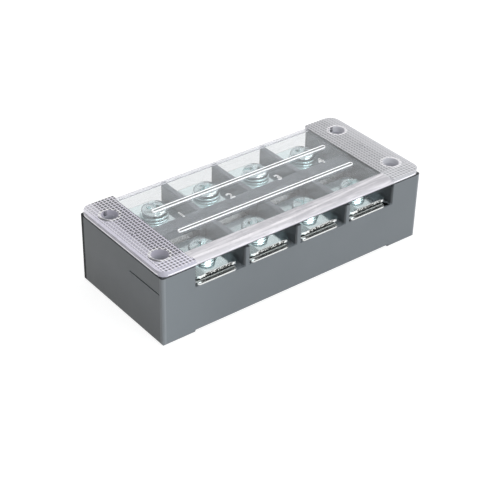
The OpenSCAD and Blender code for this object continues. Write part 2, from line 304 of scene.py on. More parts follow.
class Paint:
    """A material or a world under construction."""

    def __init__(self, owner):
        self.owner = owner
        owner.use_nodes = True
        self.tree = owner.node_tree
        self.tree.nodes.clear()

    def make(self, kind, settings=None, values=None):
        """Adds a node. Settings come first, because they decide which sockets it has."""
        node = self.tree.nodes.new("ShaderNode" + kind)
        for key, value in (settings or {}).items():
            setattr(node, key, value)
        for key, value in (values or {}).items():
            self.feed(self.socket(node, key), value)
        return Node(self, node)

    def socket(self, node, key):
        if isinstance(key, int):
            return node.inputs[key]
        return next(s for s in node.inputs if s.name == key and s.enabled)

    def feed(self, socket, value):
        if isinstance(value, Value):
            self.tree.links.new(value.socket, socket)
        elif hasattr(value, "__len__") and socket.type == "RGBA":
            socket.default_value = (*value, 1)
        else:
            socket.default_value = value

    def place(self):
        return self.make("TexCoord").out("Object")

    def axes(self):
        """The place of a point, as three numbers in metres."""
        parts = self.make("SeparateXYZ", values={"Vector": self.place()})
        return [parts.out(axis) for axis in range(3)]

    def noise(self, size, detail=2.0, roughness=0.5, where=None):
        """Cloudy noise whose blotches are about this many metres across."""
        values = {"Vector": where or self.place(), "Scale": 1 / size, "Detail": detail,
                  "Roughness": roughness}
        return self.make("TexNoise", values=values).out("Fac")

    def between(self, mask, low, high):
        """A number that runs from low to high as the mask goes from 0 to 1."""
        return mask * (high - low) + low

    def blend(self, mask, low, high):
        """A colour that runs from low to high."""
        return self.make("Mix", {"data_type": "RGBA"}, {"Factor": mask, "A": low, "B": high}).out(2)

    def mix(self, share, first, second):
        """A Mix Shader node between two shader nodes."""
        return self.make("MixShader", values={0: share, 1: first.out(), 2: second.out()})

    def bump(self, height, depth, strength):
        values = {"Height": height, "Distance": depth, "Strength": strength}
        return self.make("Bump", values=values).out("Normal")

    def finish(self, shader, output="OutputMaterial"):
        """Links the last shader to the output, and returns the finished material or world."""
        end = self.make(output)
        self.tree.links.new(shader.socket, end.node.inputs["Surface"])
        return self.owner


# %% [markdown]
# ## The grey moulding
#
# The base is a filled engineering plastic, satin and very slightly grainy from the spark
# eroded mould. The grain is too fine for geometry, so it is bump, with a slow change of
# shade and gloss over it that keeps wide faces from looking like paper.
#
# Light and shade are painted into the grey as well. The front corner gets a painted highlight,
# the front face is painted paler at its left end, and the rear walls are painted lighter. The
# end face, the narrow mouths and the foot of the ridge get painted shade. A black painted shadow
# runs along the seam below the cover, and a dark painted shadow runs along the rear and bottom
# edges of each end face. The top of each bore is painted lighter and given a faint glow. Each
# such place is a mask, a number from 0 to 1 that is worked out from Object coordinates, and a
# table says which colour goes over it. The masks hang on a few planes of the base.

# %% Places on the base
BASE_X, FACE_Y, BASE_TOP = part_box("base")[1]
BLOCK_X = BASE_X - 10.5 * MM
FLOOR_Z = 14.3 * MM
RIDGE_Y = 2.2 * MM
mount = next(m for m in frame["record"]["mounts"] if m["name"] == "mounting_holes")
HOLE_X = mount["dims"]["spacing_x_mm"] / 2 * MM
HOLE_Y = mount["dims"]["spacing_y_mm"] / 2 * MM
HOLE_R = 2.3 * MM
print("base reaches", [round(v / MM, 2) for v in (BASE_X, FACE_Y, BASE_TOP)], "mm")

# %% Masks of the base


def right_half(paint):
    """0 on the left half of the strip and 1 on the right."""
    return paint.axes()[0].ramp(-1 * MM, 1 * MM)


def distance_from_hole(paint):
    """How far a point lies from the line of the nearest mounting hole."""
    x, y, _ = paint.axes()
    off_x = abs(x) - HOLE_X
    off_y = abs(y) - HOLE_Y
    return (off_x * off_x + off_y * off_y).root()


def base_masks(paint):
    """The places of the moulding where light or shade is painted, paler or darker than the rest."""
    x, y, z = paint.axes()
    forward = 0 - y
    corner = BASE_X + FACE_Y
    end_face = abs(x).ramp(BASE_X - 0.15 * MM, BASE_X - 0.05 * MM)
    front_face = forward.ramp(FACE_Y - 0.15 * MM, FACE_Y - 0.05 * MM)
    behind_face = 1 - forward.ramp(FACE_Y - 0.2 * MM, FACE_Y - 0.05 * MM)
    between_blocks = 1 - abs(x).ramp(BLOCK_X + 0.15 * MM, BLOCK_X + 0.7 * MM)
    above_floor = z.ramp(FLOOR_Z + 0.1 * MM, FLOOR_Z + 0.5 * MM)
    rim = abs(x).ramp(BASE_X - 0.7 * MM, BASE_X - 0.5 * MM)
    rim = rim.most(abs(y).ramp(FACE_Y - 0.7 * MM, FACE_Y - 0.5 * MM))
    ridge = 1 - abs(y).ramp(RIDGE_Y + 0.1 * MM, RIDGE_Y + 0.2 * MM)
    bore = 1 - distance_from_hole(paint).ramp(HOLE_R + 0.05 * MM, HOLE_R + 0.1 * MM)
    rear_edge = y.ramp(FACE_Y - 1.9 * MM, FACE_Y - 1.7 * MM)
    foot = 1 - z.ramp(0.5 * MM, 0.8 * MM)
    return {
        "lit front left": front_face * (1 - x.ramp(-BASE_X, -15 * MM)),
        "end face": end_face * (0.85 - z.ramp(2 * MM, 14 * MM) * 0.5),
        "shaded ridge foot": ridge * (1 - z.ramp(16.8 * MM, 18 * MM)) * between_blocks,
        "front corner highlight": (abs(x) - y).ramp(corner - 1.3 * MM, corner - 0.9 * MM),
        "mouth": forward.ramp(13 * MM, 15 * MM) * behind_face * above_floor * between_blocks,
        "seam shadow": z.ramp(BASE_TOP - 0.26 * MM, BASE_TOP - 0.18 * MM) * rim,
        "lit rear wall": y.ramp(RIDGE_Y + 0.1 * MM, RIDGE_Y + 0.4 * MM) * above_floor * between_blocks,
        "lit upper bore": bore * z.ramp(BASE_TOP - 3.2 * MM, BASE_TOP),
        "shadow line": rear_edge.most(foot) * end_face,
    }


# %% Base plastic
GREY_DEEP = (0.172, 0.188, 0.202)
GREY_PALE = (0.198, 0.215, 0.229)
SHADE_BLACK = (0.015, 0.016, 0.018)
BLACK = (0, 0, 0)
# Each row: a mask, how much of it shows, and the colour that goes over it
BASE_LAYERS = (
    # Painted light: the front face paler towards its left end
    ("lit front left", 0.6, (0.25, 0.275, 0.295)),
    # Painted shade: the end face darker, most towards the bottom
    ("end face", 1.0, (0.115, 0.124, 0.130)),
    # Painted shade at the foot of the ridge
    ("shaded ridge foot", 0.7, (0.05, 0.055, 0.06)),
    # Painted highlight on the rounded front corners
    ("front corner highlight", 0.6, (0.34, 0.36, 0.38)),
    # Painted shade in the narrow mouths
    ("mouth", 0.6, SHADE_BLACK),
    # Painted shadow along the gap below the cover
    ("seam shadow", 1.0, SHADE_BLACK),
    # Painted light: the walls behind the ridge lighter
    ("lit rear wall", 1.0, (0.245, 0.262, 0.278)),
    # Painted light: the top of each bore lighter
    ("lit upper bore", 1.0, (0.34, 0.34, 0.37)),
)


def base_plastic():
    paint = Paint(bpy.data.materials.new("base_plastic"))
    masks = base_masks(paint)
    grain = paint.noise(0.22 * MM, detail=3, roughness=0.6)
    shade = paint.blend(paint.noise(14 * MM, detail=3), GREY_DEEP, GREY_PALE)
    for name, share, colour in BASE_LAYERS:
        shade = paint.blend(masks[name] * share, shade, colour)
    # A painted glow in the top of each bore, brighter on the right
    bore_glow = paint.blend(right_half(paint), (0.10, 0.10, 0.115), (0.14, 0.14, 0.155))
    satin = paint.make("BsdfPrincipled", values={
        "Base Color": shade,
        "Roughness": paint.between(paint.noise(3 * MM) * 0.6 + grain * 0.4, 0.36, 0.52),
        "Specular IOR Level": 0.3,
        "Emission Color": paint.blend(masks["lit upper bore"], BLACK, bore_glow),
        "Emission Strength": 1.0,
        "Normal": paint.bump(grain, 0.012 * MM, 0.5),
    })
    # A dark matt shader paints the shadow along the rear and bottom edges of the end faces
    painted_shadow = paint.make("BsdfDiffuse", values={"Color": (0.03, 0.03, 0.03)})
    return paint.finish(paint.mix(masks["shadow line"] * 0.75, satin, painted_shadow).out())


plastic = base_plastic()
print("base plastic", len(plastic.node_tree.nodes), "nodes")

# %% [markdown]
# ## Bright zinc
#
# The screws, washers and clamp plates are steel with a bright zinc coat, which is slightly
# cloudy and a little green, with a gloss that changes from place to place. A press cuts the
# plates out of strip, which leaves a rolled rim along both long sides. The rim is painted pale
# and less metallic as a painted highlight, so that a lamp lights it up and it isn't only a
# mirror, and the cut face below it is painted with a dark mottle.

# %% Zinc
PLATE_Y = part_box("rear_clamp_plate_1")[1].y
RIM_Y = PLATE_Y - 0.34 * MM
RIM_HIGHLIGHT = (0.98, 0.99, 0.97)
MOTTLE_DARK = (0.05, 0.05, 0.045)


def zinc():
    paint = Paint(bpy.data.materials.new("bright_zinc"))
    reach = abs(paint.axes()[1])
    cloud = paint.noise(1.6 * MM, detail=4, roughness=0.6)
    speck = paint.noise(0.25 * MM, detail=2)
    # The rolled rim is painted pale and less metallic, a painted highlight
    rim = reach.ramp(RIM_Y, RIM_Y + 0.06 * MM)
    cut_face = reach.ramp(PLATE_Y - 0.025 * MM, PLATE_Y - 0.005 * MM)
    # A dark mottle painted over the cut face below the rim
    dark_mottle = (1 - paint.noise(0.4 * MM, detail=3, roughness=0.7).ramp(0.50, 0.60)) * cut_face
    bright = paint.blend(cloud, (0.76, 0.88, 0.88), (0.90, 0.98, 0.98))
    bright = paint.blend(rim, bright, RIM_HIGHLIGHT)
    shader = paint.make("BsdfPrincipled", values={
        "Base Color": paint.blend(dark_mottle, bright, MOTTLE_DARK),
        "Metallic": paint.between(rim * (1 - dark_mottle), 1.0, 0.3),
        "Roughness": paint.between((cloud * 0.6 + speck * 0.4).most(cut_face), 0.06, 0.19),
        "Normal": paint.bump(speck * 0.3 + cloud, 0.004 * MM, 0.5),
    })
    return paint.finish(shader.out())


bright_zinc = zinc()
print("zinc rim from", round(RIM_Y / MM, 2), "to", round(PLATE_Y / MM, 2), "mm")

# %% [markdown]
# ## Nickel of the bus bars
#
# The bars are duller than the screws. Only their ends show, below the teeth of the plates:
# a pale line of painted highlight, and a dark line of painted shade along the top front edge.

# %% Bus bar metal
BAR_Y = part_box("bus_bar_1")[1].y
BAR_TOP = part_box("bus_bar_1")[1].z


def nickel():
    paint = Paint(bpy.data.materials.new("bar_nickel"))
    _, y, z = paint.axes()
    reach = abs(y)
    cloud = paint.noise(1.6 * MM, detail=4, roughness=0.6)
    # Painted shade: a dark line along the top front edge
    edge_shade = reach.ramp(BAR_Y - 0.16 * MM, BAR_Y - 0.1 * MM)
    edge_shade = edge_shade * z.ramp(BAR_TOP - 0.16 * MM, BAR_TOP - 0.1 * MM)
    # Painted highlight: a pale, rougher, less metallic band in front of the plate
    highlight_band = reach.ramp(PLATE_Y - 0.5 * MM, PLATE_Y - 0.4 * MM)
    highlight_band = highlight_band * (1 - reach.ramp(PLATE_Y - 0.15 * MM, PLATE_Y - 0.05 * MM))
    bright = paint.blend(cloud, (0.60, 0.61, 0.60), (0.74, 0.75, 0.74))
    bright = paint.blend(highlight_band, bright, (0.92, 0.93, 0.91))
    shader = paint.make("BsdfPrincipled", values={
        "Base Color": paint.blend(edge_shade, bright, (0.04, 0.04, 0.04)),
        "Metallic": paint.between(highlight_band, 0.95, 0.2),
        "Roughness": paint.between(cloud * 0.5 + highlight_band * 0.5, 0.20, 0.50),
        "Normal": paint.bump(cloud, 0.004 * MM, 0.5),
    })
    return paint.finish(shader.out())


bar_nickel = nickel()
print("bar top at", round(BAR_TOP / MM, 2), "mm")

# %% [markdown]
# ## Base and bus bars
#
# A moulding tool leaves its inner edges nearly sharp, so the base only gets a fine round
# where a hand would break the edge. The bars are punched from strip.

# %% Base and bus bars
MOULDED_ROUND = 0.14 * MM
BAR_ROUND = 0.12 * MM
base = copy_solid("base", "base_moulding")
round_edges(base, MOULDED_ROUND)
dress(base, plastic, "base")
print("base", triangles(base), "triangles")
for pole in POLES:
    bar = copy_solid(f"bus_bar_{pole}", f"bus_bar_strip_{pole}")
    round_edges(bar, BAR_ROUND)
    dress(bar, bar_nickel, f"bus_bar_{pole}")
print("one bus bar", triangles(bar), "triangles")

# %% [markdown]
# ## Clamp plates and spring washers
#
# The plates are stamped, which rolls their upper edges over. The wider bevel, with the painted
# highlight of the rim, shows as the bright line along the front of each one.

# %% Plates and washers
PLATE_ROUND = 0.16 * MM
WASHER_ROUND = 0.1 * MM
for side in SIDES:
    for pole in POLES:
        plate = copy_solid(f"{side}_clamp_plate_{pole}", f"{side}_saddle_plate_{pole}")
        round_edges(plate, PLATE_ROUND)
        dress(plate, bright_zinc, f"{side}_clamp_plate_{pole}")
        ring = copy_solid(f"{side}_spring_washer_{pole}", f"{side}_split_ring_{pole}")
        round_edges(ring, WASHER_ROUND)
        dress(ring, bright_zinc, f"{side}_spring_washer_{pole}")
print("one plate", triangles(plate), "and one washer", triangles(ring), "triangles")

# %% [markdown]
# ## Screws with a rolled thread
#
# A thread could be a bump pattern, but its outline shows when a screw is lifted out. Here the
# plain shank is drawn in to the root of the thread, and a small triangle is swept round it
# by the Screw modifier, one pitch up for each turn.

# %% Screws
THREAD_PITCH = 0.7 * MM
THREAD_R = 2 * MM
ROOT_R = 1.6 * MM
THREAD_STEPS = 20
THREAD_HALF_H = 0.32 * MM
THREAD_SUNK = 0.1 * MM
THREAD_START = 0.35 * MM
PLAIN_TIP = 0.5 * MM
PLAIN_NECK = 0.6 * MM
SCREW_ROUND = 0.09 * MM


def thread_piece(centre, low, high):
    """A right-hand thread round a vertical line, from one height to another."""
    turns = int((high - low) / THREAD_PITCH)
    bpy.ops.object.select_all(action="DESELECT")
    bpy.ops.mesh.primitive_circle_add(vertices=3, radius=THREAD_R - ROOT_R, location=(0, 0, 0))
    ridge = bpy.context.object
    ridge.name = "thread_ridge"
    corners = [
        (ROOT_R - THREAD_SUNK, 0, -THREAD_HALF_H),
        (THREAD_R, 0, 0),
        (ROOT_R - THREAD_SUNK, 0, THREAD_HALF_H)]
    for vertex, corner in zip(ridge.data.vertices, corners):
        vertex.co = corner
    modify(ridge, "SCREW", angle=math.tau * turns, screw_offset=THREAD_PITCH * turns,
           steps=THREAD_STEPS * turns, render_steps=THREAD_STEPS * turns,
           use_normal_calculate=True)
    edit(ridge)
    bpy.ops.mesh.select_non_manifold(extend=False)
    bpy.ops.mesh.edge_face_add()
    bpy.ops.mesh.select_all(action="SELECT")
    bpy.ops.mesh.normals_make_consistent(inside=False)
    close_edit()
    ridge.data.transform(Matrix.Translation((centre.x, centre.y, low + THREAD_START)))
    return ridge


def threaded_screw(node, name, seat):
    """A copy of a screw whose plain shank becomes a thread."""
    low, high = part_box(node)
    centre = (low + high) / 2
    screw = copy_solid(node, name)
    edit(screw)
    pick(screw, "VERT", lambda co: co.z < seat + 0.01 * MM
         and (co.xy - centre.xy).length < THREAD_R + NEAR)
    bpy.ops.transform.resize(value=(ROOT_R / THREAD_R, ROOT_R / THREAD_R, 1),
                             center_override=(centre.x, centre.y, low.z))
    close_edit()
    round_edges(screw, SCREW_ROUND)
    ridge = thread_piece(centre, low.z + PLAIN_TIP, seat - PLAIN_NECK)
    activate(screw, ridge)
    bpy.ops.object.join()
    return screw


for side in SIDES:
    for pole in POLES:
        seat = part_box(f"{side}_spring_washer_{pole}")[1].z
        node = f"{side}_screw_{pole}"
        screw = threaded_screw(node, f"{side}_pan_screw_{pole}", seat)
        dress(screw, bright_zinc, node)
print("one screw", triangles(screw), "triangles")

# %% [markdown]
# ## Clear cover plastic
#
# Clear styrene bends what lies behind it, and a glass shader gives that. Lamps can't shine
# through glass in a path tracer without a great deal of noise, so rays that look for a lamp
# meet a plain see-through shader in its place.
#
# Some parts of the moulding look milky, because light is caught in them: the knurled ends,
# the thick rails, and the label ribs. On the ribs the two white lines are a painted highlight,
# and the dark one between them is painted shade.
# Each is a mask made from Object coordinates. The edge of the thin window lies 1.1 mm below
# the top, so the masks of the ends and of the front rail lean: they start at that edge and
# reach further in at the top.

# %% Sizes of the cover
TOP = BASE_TOP + 1.6 * MM
WINDOW_Z = BASE_TOP + 0.5 * MM
WINDOW_X = BLOCK_X
WINDOW_Y = 13.8 * MM
BEVEL_Y = FACE_Y - 1.7 * MM
RIB_Y = 5.9 * MM
RIB_END = 29.2 * MM
KNURL_PITCH = 1.04 * MM
KNURL_INNER = 33.8 * MM
KNURL_COLUMNS = 9
KNURL_ROWS = 35
KNURL_OUTER = KNURL_INNER + KNURL_COLUMNS * KNURL_PITCH
KNURL_HALF_W = KNURL_ROWS * KNURL_PITCH / 2
LAND_R = 3.1 * MM
LEAN_X = 0.4
LEAN_Y = 0.51
print("knurled from", round(KNURL_INNER / MM, 1), "to", round(KNURL_OUTER / MM, 1), "mm")

# %% Milky parts and edges of the cover


def zones(paint):
    """The milky ends, rails and ribs, with a painted highlight on the rib flanks and painted shade
    in the rib middles.
    """
    x, y, z = paint.axes()
    depth = z - WINDOW_Z
    ends = abs(x + depth * LEAN_X).ramp(WINDOW_X - 0.05 * MM, WINDOW_X + 0.05 * MM)
    along = (abs(x) - RIB_END).most(0.0)
    across = y - y.sign() * RIB_Y
    core = across.ramp(-0.52 * MM, -0.44 * MM) * (1 - across.ramp(0.06 * MM, 0.14 * MM))
    core = core * (1 - along.ramp(0.15 * MM, 0.3 * MM))
    raised = z.ramp(TOP + 0.03 * MM, TOP + 0.1 * MM) * (1 - ends)
    bevel_end = abs(x).ramp(WINDOW_X - 0.08 * MM, WINDOW_X - 0.02 * MM)
    bevel_end = bevel_end * abs(y).ramp(BEVEL_Y - 0.1 * MM, BEVEL_Y + 0.1 * MM)
    end_wall = bevel_end * (1 - abs(x).ramp(WINDOW_X + 0.05 * MM, WINDOW_X + 0.1 * MM))
    return {
        "ends": ends.most(bevel_end),
        "front": (0 - y - depth * LEAN_Y).ramp(WINDOW_Y - 0.05 * MM, WINDOW_Y + 0.05 * MM),
        "rear": y.ramp(BEVEL_Y, BEVEL_Y + 0.4 * MM),
        "rib": (1 - core) * raised,
        "core": core * raised,
        "end wall": end_wall * (1 - z.ramp(TOP - 0.1 * MM, TOP - 0.05 * MM)),
    }


def edge_lines(paint):
    """Painted shade on the cover's lowest lip, and a painted glowing line above it."""
    x, y, z = paint.axes()
    up = z - BASE_TOP
    side = abs(x).ramp(BASE_X - 0.2 * MM, BASE_X - 0.1 * MM)
    side = side.most(abs(y).ramp(FACE_Y - 0.2 * MM, FACE_Y - 0.1 * MM))
    return {
        "lip": side * (1 - up.ramp(0.16 * MM, 0.26 * MM)),
        # A painted glowing line along the outer edge, above the lip
        "glow line": side * up.ramp(0.25 * MM, 0.35 * MM) * (1 - up.ramp(0.62 * MM, 0.75 * MM)),
    }


# %% [markdown]
# ## Marks on the knurled ends
#
# Light that enters a pyramid leaves it sideways, so the grooves between them look dark. The
# dashes are painted shade in the grooves: a cell of the knurl is found by dividing x and y by
# its pitch. They are long over the field, short along the front, fainter outwards and fainter
# over the right end, and the peaks get a painted highlight. Round each left hole there is also
# a crescent of painted shade, where the wall below would be seen dark through the land.

# %% Marks of the ends
DOTS_Y = 14.3 * MM
FADE_X = 39.6 * MM
CRESCENT_X = 0.92
CRESCENT_Y = 0.39


def knurl_marks(paint, ends):
    """Painted shade as dashes in the grooves, and a painted highlight on the peaks of the pyramids.
    """
    x, y, z = paint.axes()
    column = ((abs(x) - KNURL_INNER) / KNURL_PITCH).cell()
    row = ((y + KNURL_HALF_W) / KNURL_PITCH).cell()
    strip = (0 - y).ramp(DOTS_Y, DOTS_Y + 0.2 * MM)
    dash = column.ramp(0.12, 0.42) * (1 - row.ramp(0.6, 0.88)) * (1 - strip)
    dot = column.ramp(0.3, 0.6) * row.ramp(0.3, 0.6) * strip
    inner = 1 - abs(x).ramp(FADE_X, FADE_X + 1.2 * MM)
    field = (1 - abs(x).ramp(KNURL_OUTER - 0.1 * MM, KNURL_OUTER)) * ends
    # The marks are painted fainter over the right end, where more light falls
    field = field * z.ramp(TOP - 0.05 * MM, TOP) * (1 - right_half(paint) * 0.45)
    return {
        "dash": (dash * (inner * 0.5 + 0.42) + dot * 0.85) * field,
        "peak highlight": (1 - column.ramp(0.15, 0.5)) * (1 - row.ramp(0.15, 0.5)) * field,
    }


def hole_marks(paint, ends):
    """The land round a hole, the hole's wall, and a crescent of painted shade at the left of the
    left holes.
    """
    x, y, _ = paint.axes()
    from_hole = distance_from_hole(paint)
    leftward = (0 - x - HOLE_X) * CRESCENT_X - (y - y.sign() * HOLE_Y) * CRESCENT_Y
    ring = from_hole.ramp(HOLE_R + 0.1 * MM, HOLE_R + 0.16 * MM)
    ring = ring * (1 - from_hole.ramp(LAND_R + 0.1 * MM, LAND_R + 0.2 * MM))
    return {
        "land": (1 - from_hole.ramp(LAND_R - 0.1 * MM, LAND_R)) * ends,
        "hole wall": 1 - from_hole.ramp(HOLE_R + 0.04 * MM, HOLE_R + 0.08 * MM),
        "crescent shade": ring * leftward.ramp(2.35 * MM, 2.5 * MM) * ends,
    }


# %% [markdown]
# ## Streaks and a painted highlight in the clear plastic
#
# Plastic sets while it still flows along the mould, which leaves long faint streaks in it. A
# picture of them would have to be fitted to the cover. Noise needs no picture: its x is made
# smaller before the noise reads it, and that draws every blotch out along the strip. The front
# rail also gets a painted highlight: one long bright line that bends a little, and a paler
# shade towards its left end.

# %% Streaks
HIGHLIGHT_Y = 17.2 * MM
HIGHLIGHT_BEND = 0.000956 / MM
HIGHLIGHT_SLOPE = 0.03447


def streaks(paint, size, stretch, detail, roughness=0.5):
    """Noise that is drawn out along the strip, as the plastic flowed."""
    x, y, z = paint.axes()
    drawn_out = paint.make("CombineXYZ", values={"X": x * stretch, "Y": y, "Z": z}).out()
    return paint.noise(size, detail, roughness, where=drawn_out)


def rail_shine(paint):
    """The front rail's painted highlight, a long bright line that bends a little and is paler to
    the left, and finer streaks.
    """
    x, y, _ = paint.axes()
    bend = x * x * HIGHLIGHT_BEND + x * HIGHLIGHT_SLOPE
    highlight_line = 1 - abs(y + HIGHLIGHT_Y - bend).ramp(0.15 * MM, 0.55 * MM)
    fine = streaks(paint, 0.8 * MM, 0.12, 3).ramp(0.42, 0.66)
    # Painted light: paler towards the left end
    leftward = 1 - x.ramp(-34 * MM, 10 * MM)
    return (highlight_line * 0.6 + fine * 0.4 + leftward * 0.2).least(1.0)


# %% Milky share
MILKINESS = {"ends": 0.92, "front": 0.96, "rib": 0.95, "rear": 0.6, "core": 0.6}


def milky_share(paint, masks):
    """How milky each place is, from 0 for clear glass to 1."""
    cloudy = streaks(paint, 3 * MM, 0.4, 6, 0.7).ramp(0.4, 0.7)
    middle = 1 - abs(paint.axes()[1]).ramp(6 * MM, 10 * MM)
    wisps = streaks(paint, 1.3 * MM, 0.2, 5, 0.75).ramp(0.52, 0.72) * middle
    share = (cloudy * 0.08).most(wisps * 0.22)
    for name, amount in MILKINESS.items():
        share = share.most(masks[name] * amount)
    return share


# %% [markdown]
# ## The cover's two plastics
#
# A milky shader and a glass one are mixed by the share worked out above. Real clear plastic
# carries light to its edges, which a glass shader only gives after very many rays. A faint
# painted glow stands for it in the walls of the holes, brighter on the right, in the ribs, in
# the end walls of the front rail and in the line along the outer edge. The lowest part of
# the outer edge gets a dark matt shader as painted shadow.

# %% Cover plastic
LAVENDER = (0.64, 0.615, 0.72)
GREY = (0.56, 0.56, 0.585)
MILK = (0.94, 0.92, 0.95)
HAZE = (0.74, 0.78, 0.82)
RAIL_DEEP = (0.50, 0.485, 0.515)
RAIL_PALE = (0.90, 0.87, 0.90)
# Painted shade in the knurl grooves and in the crescents
SHADE_DARK = (0.03, 0.03, 0.04)
# Painted highlight on the rib flanks and painted shade in the rib middles
RIB_HIGHLIGHT = (0.94, 0.94, 0.95)
RIB_SHADE = (0.13, 0.135, 0.145)


def cover_colour(paint, masks, haze):
    """The colour of the milky parts, one mask over the other, with painted light and shade among
    them.
    """
    right = right_half(paint)
    # Painted light: the left end tinted lavender and the right end grey, the peaks get a painted
    # highlight, and the rear of the left end is painted paler
    paler_rear_left = paint.axes()[1].ramp(9 * MM, 19 * MM) * (1 - right) * 0.6
    pale = (masks["peak highlight"] * 0.9 + haze * 0.2).most(paler_rear_left)
    ends = paint.blend(pale, paint.blend(right, LAVENDER, GREY), MILK)
    rail = paint.blend(rail_shine(paint), RAIL_DEEP, RAIL_PALE)
    layers = (
        (masks["ends"], ends),
        (masks["land"].most(masks["glow line"]), MILK),
        (masks["rear"] * (1 - masks["ends"]), MILK),
        (masks["front"] * (1 - masks["ends"]), rail),
        (masks["dash"].most(masks["crescent shade"] * 0.9), SHADE_DARK),
        # Painted light and shade: the hole walls darker on the left and paler on the right
        (masks["hole wall"], paint.blend(right, (0.36, 0.34, 0.40), (0.50, 0.50, 0.52))),
        (masks["rib"], RIB_HIGHLIGHT),
        (masks["core"], RIB_SHADE),
    )
    shade = HAZE
    for mask, colour in layers:
        shade = paint.blend(mask, shade, colour)
    return shade


def carried_light(paint, masks):
    """The faint glow of the edges to which the plastic carries light."""
    in_holes = paint.blend(right_half(paint), (0.13, 0.13, 0.145), (0.15, 0.15, 0.165))
    glows = (
        ("hole wall", in_holes),
        ("glow line", (0.24, 0.23, 0.26)),
        ("rib", (0.22, 0.22, 0.22)),
        ("end wall", (0.16, 0.16, 0.17)),
    )
    light = BLACK
    for name, glow in glows:
        light = paint.blend(masks[name], light, glow)
    return light


def cover_plastic():
    paint = Paint(bpy.data.materials.new("cover_plastic"))
    masks = {**zones(paint), **edge_lines(paint)}
    masks.update(knurl_marks(paint, masks["ends"]))
    masks.update(hole_marks(paint, masks["ends"]))
    haze = paint.noise(5 * MM, detail=4)
    share = milky_share(paint, masks)
    milky = paint.make("BsdfPrincipled", values={
        "Base Color": cover_colour(paint, masks, haze),
        "Roughness": paint.between(haze, 0.22, 0.34),
        "Specular IOR Level": 0.5,
        "Emission Color": carried_light(paint, masks),
        "Emission Strength": 1.0,
    })
    glass = paint.make("BsdfPrincipled", values={
        "Base Color": (0.73, 0.745, 0.755),
        "Roughness": paint.between(haze, 0.01, 0.03),
        "IOR": 1.56,
        "Transmission Weight": 1.0,
        "Normal": paint.bump(haze, 0.004 * MM, 0.25),
    })
    body = paint.mix(share, glass, milky)
    # A dark matt shader paints shadow on the lowest part of the outer edge, where the cover meets
    # the base
    dark_lip = paint.make("BsdfDiffuse", values={"Color": (0.05, 0.05, 0.055)})
    body = paint.mix(masks["lip"] * 0.9, body, dark_lip)
    clear_air = paint.make("BsdfTransparent", values={"Color": (0.80, 0.80, 0.82)})
    dim_air = paint.make("BsdfTransparent", values={"Color": (0.25, 0.25, 0.27)})
    from_lamp = paint.make("LightPath").out("Is Shadow Ray")
    body = paint.mix(from_lamp, body, paint.mix(share, clear_air, dim_air))
    return paint.finish(body.out())


clear = cover_plastic()
print("cover plastic", len(clear.node_tree.nodes), "nodes")

# %% [markdown]
# ## Knurled ends of the cover
#
# Both ends of the cover carry rows of small pyramids, with a smooth land round each hole. A
# grid has one square for each pyramid, and Poke raises the middle of every square at once.
# The field is then cut to the outline and joined to the cover by boolean modifiers, so that
# the light meets one closed skin.
#
# In the real cover the rear edge of the window can't be seen, because it runs out gently. So
# its corners are moved back, over the rear rail, before the edges are rounded.

# %% Knurled ends and cover
KNURL_H = 0.26 * MM
KNURL_ROOT = 0.2 * MM
GATE_LAND_R = 0.9 * MM
LAND_SIDES = 40
CORNER_R = 2.0 * MM
CORNER_STEPS = 6
REAR_STEP = 3.2 * MM


def knurl_field(side):
    """A closed slab with pyramids on top, over one end of the cover."""
    bpy.ops.object.select_all(action="DESELECT")
    bpy.ops.mesh.primitive_grid_add(x_subdivisions=KNURL_COLUMNS, y_subdivisions=KNURL_ROWS,
                                    size=1)
    field = bpy.context.object
    field.name = "knurl_field"
    field.data.transform(Matrix.Diagonal(
        (KNURL_COLUMNS * KNURL_PITCH, KNURL_ROWS * KNURL_PITCH, 1, 1)))
    middle = side * (KNURL_OUTER + KNURL_INNER) / 2
    field.data.transform(Matrix.Translation((middle, 0, TOP)))
    edit(field, "FACE")
    bpy.ops.mesh.select_all(action="SELECT")
    bpy.ops.mesh.poke(offset=KNURL_H)
    bpy.ops.mesh.select_mode(type="EDGE")
    bpy.ops.mesh.select_all(action="DESELECT")
    bpy.ops.mesh.select_non_manifold(extend=False)
    bpy.ops.mesh.extrude_region_move(TRANSFORM_OT_translate={"value": (0, 0, -KNURL_ROOT)})
    bpy.ops.mesh.edge_face_add()
    bpy.ops.mesh.select_all(action="SELECT")
    bpy.ops.mesh.normals_make_consistent(inside=False)
    close_edit()
    return field


def land_cutter(side):
    """A block with round corners and without the lands, over one end of the cover."""
    bpy.ops.object.select_all(action="DESELECT")
    bpy.ops.mesh.primitive_cube_add(size=1, location=(0, 0, 0))
    block = bpy.context.object
    block.data.transform(Matrix.Diagonal((2 * KNURL_OUTER, 2 * KNURL_HALF_W, 2 * MM, 1)))
    block.data.transform(Matrix.Translation((0, 0, TOP)))
    for line in block.data.edges:
        ends = [block.data.vertices[i].co for i in line.vertices]
        line.select = abs(ends[0].z - ends[1].z) > MM
    activate(block)
    bpy.ops.object.mode_set(mode="EDIT")
    bpy.ops.mesh.bevel(offset=CORNER_R, segments=CORNER_STEPS, affect="EDGES")
    close_edit()
    for y, radius in ((-HOLE_Y, LAND_R), (0, GATE_LAND_R), (HOLE_Y, LAND_R)):
        bpy.ops.object.select_all(action="DESELECT")
        bpy.ops.mesh.primitive_cylinder_add(vertices=LAND_SIDES, radius=radius, depth=4 * MM,
                                            location=(side * HOLE_X, y, TOP))
        land = bpy.context.object
        activate(land)
        bpy.ops.object.transform_apply()
        modify(block, "BOOLEAN", operation="DIFFERENCE", solver="EXACT", object=land)
        bpy.data.objects.remove(land)
    return block


